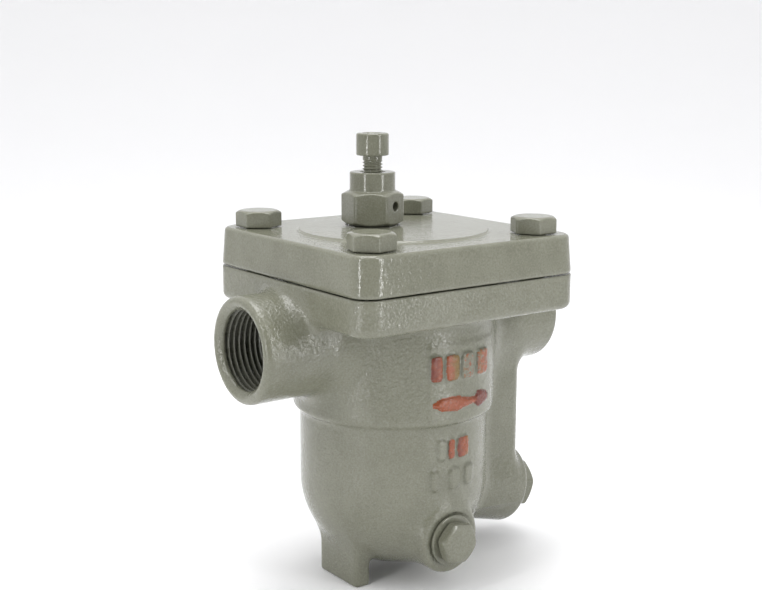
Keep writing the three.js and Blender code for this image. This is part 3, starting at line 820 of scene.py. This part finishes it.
solid("seat_orifice_piece", seat_field, (27, -8, 18), (47, 8, 40), 0.34, "trap", ["valve_seat"], m_steel)
for node, mat in (("cover_gasket", m_gasket), ("seat_gasket", m_gasket), ("strainer_retaining_ring", m_sheet)):
    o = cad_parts[node]
    o.data.materials.clear()
    o.data.materials.append(mat)

# ------------------------------------------------------------------ studio
CAM = Vector((-0.29383, -0.39221, 0.20696))
F = Vector((0.58087, 0.79188, -0.18848)).normalized()
R = Vector((0.80633, -0.59147, 0.0)).normalized()
U = R.cross(F)
roll = math.radians(0.131)
R2 = R * math.cos(roll) + U * math.sin(roll)
U2 = U * math.cos(roll) - R * math.sin(roll)
cam_data = bpy.data.cameras.new("camera")
cam = bpy.data.objects.new("camera", cam_data)
bpy.context.scene.collection.objects.link(cam)
cam_data.sensor_width = 36.0
cam_data.lens = 1252.53 * 36.0 / 762
cam_data.clip_start = 0.02
cam_data.clip_end = 50
cam.matrix_world = Matrix(((R2.x, U2.x, -F.x, CAM.x), (R2.y, U2.y, -F.y, CAM.y), (R2.z, U2.z, -F.z, CAM.z), (0, 0, 0, 1)))
bpy.context.scene.camera = cam

VIEW_AZ = math.atan2(CAM.y, CAM.x)  # direction from the object to the camera, in plan


def bowl():
    """A pale floor that curves up behind and to the sides but stays flat towards the camera, so that no horizon shows.
    """
    prof = [(0, 0), (0.4, 0), (0.9, 0), (1.3, 0)]
    for i in range(1, 13):
        a = math.pi / 2 * i / 12
        prof.append((1.3 + 0.7 * math.sin(a), 0.7 - 0.7 * math.cos(a)))
    prof.append((2.0, 0.9))
    seg = 96
    verts = [(0, 0, 0)]
    for r_, z_ in prof[1:]:
        for j in range(seg):
            a = 2 * math.pi * j / seg
            away = abs((a - VIEW_AZ + math.pi) % (2 * math.pi) - math.pi)
            w = min(1.0, max(0.0, (away - math.radians(62)) / math.radians(45)))
            verts.append((r_ * math.cos(a), r_ * math.sin(a), z_ * w * w * (3 - 2 * w)))
    faces = [(0, 1 + j, 1 + (j + 1) % seg) for j in range(seg)]
    for i in range(len(prof) - 2):
        for j in range(seg):
            k = (j + 1) % seg
            a, b = 1 + i * seg, 1 + (i + 1) * seg
            faces.append((a + j, b + j, b + k, a + k))
    me = bpy.data.meshes.new("studio_floor")
    me.from_pydata(verts, [], faces)
    me.polygons.foreach_set("use_smooth", [True] * len(me.polygons))
    o = bpy.data.objects.new("studio_floor", me)
    bpy.context.scene.collection.objects.link(o)
    n = Nodes("studio_white")
    n.link(n.mix(n.noise(3.0, 2.0), (0.86, 0.86, 0.865, 1), (0.88, 0.88, 0.885, 1)), n.bsdf.inputs["Base Color"])
    n.bsdf.inputs["Roughness"].default_value = 0.75
    me.materials.append(n.mat)
    return o


bowl()

def strip(name, turn_deg, dist, low, high, width, power, tilt=0.0, colour=(1, 1, 1)):
    """An upright softbox at an angle from the camera's side, facing the object."""
    a = VIEW_AZ + math.radians(turn_deg)
    data = bpy.data.lights.new(name, "AREA")
    data.shape = "RECTANGLE"
    data.size = width
    data.size_y = high - low
    data.energy = power
    data.color = colour
    o = bpy.data.objects.new(name, data)
    o.location = (dist * math.cos(a), dist * math.sin(a), (low + high) / 2)
    aim_at = Vector((0, 0, 0.12 + (low + high) / 2 * (1 - tilt) - 0.12 * (1 - tilt)))
    o.rotation_euler = (aim_at - o.location).to_track_quat("-Z", "Y").to_euler()
    bpy.context.scene.collection.objects.link(o)
    return o


strip("strip_left", -39, 0.44, 0.0, 1.0, 0.03, 1.6)
strip("strip_right", 54, 0.44, 0.0, 1.0, 0.03, 1.6)


def panel(name, at, to, w, h, power):
    data = bpy.data.lights.new(name, "AREA")
    data.shape = "RECTANGLE"
    data.size, data.size_y, data.energy = w, h, power
    o = bpy.data.objects.new(name, data)
    o.location = at
    o.rotation_euler = (Vector(to) - o.location).to_track_quat("-Z", "Y").to_euler()
    bpy.context.scene.collection.objects.link(o)
    return o


panel("overhead", (0.05, 0.15, 1.3), (0, 0, 0.1), 0.8, 0.8, 10.5)
panel("backdrop", (-1.0 * math.cos(VIEW_AZ), -1.0 * math.sin(VIEW_AZ), 1.35),
      (-2.0 * math.cos(VIEW_AZ), -2.0 * math.sin(VIEW_AZ), 0.45), 1.8, 0.4, 6.0)

world = bpy.data.worlds.new("studio")
bpy.context.scene.world = world
world.use_nodes = True
t = world.node_tree
t.nodes.clear()
wo = t.nodes.new("ShaderNodeOutputWorld")
bg = t.nodes.new("ShaderNodeBackground")
tc = t.nodes.new("ShaderNodeTexCoord")
dot = t.nodes.new("ShaderNodeVectorMath")
dot.operation = "DOT_PRODUCT"
dot.inputs[1].default_value = (math.cos(VIEW_AZ), math.sin(VIEW_AZ), 0.0)
t.links.new(tc.outputs["Generated"], dot.inputs[0])
mr = t.nodes.new("ShaderNodeMapRange")
mr.inputs["From Min"].default_value = 0.25
mr.inputs["From Max"].default_value = 0.85
mr.inputs["To Min"].default_value = 1.0
mr.inputs["To Max"].default_value = 0.13
t.links.new(dot.outputs["Value"], mr.inputs["Value"])
bg.inputs["Color"].default_value = (0.985, 0.985, 1.0, 1)
mr.interpolation_type = "SMOOTHSTEP"
lp = t.nodes.new("ShaderNodeLightPath")
seen = t.nodes.new("ShaderNodeMath")
seen.operation = "MAXIMUM"
t.links.new(mr.outputs["Result"], seen.inputs[0])
t.links.new(lp.outputs["Is Camera Ray"], seen.inputs[1])
t.links.new(seen.outputs[0], bg.inputs["Strength"])
t.links.new(bg.outputs[0], wo.inputs["Surface"])
bpy.context.scene.view_settings.view_transform = "Standard"

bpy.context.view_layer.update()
print(f"SCENE built in {time.perf_counter() - T0:.1f} s")
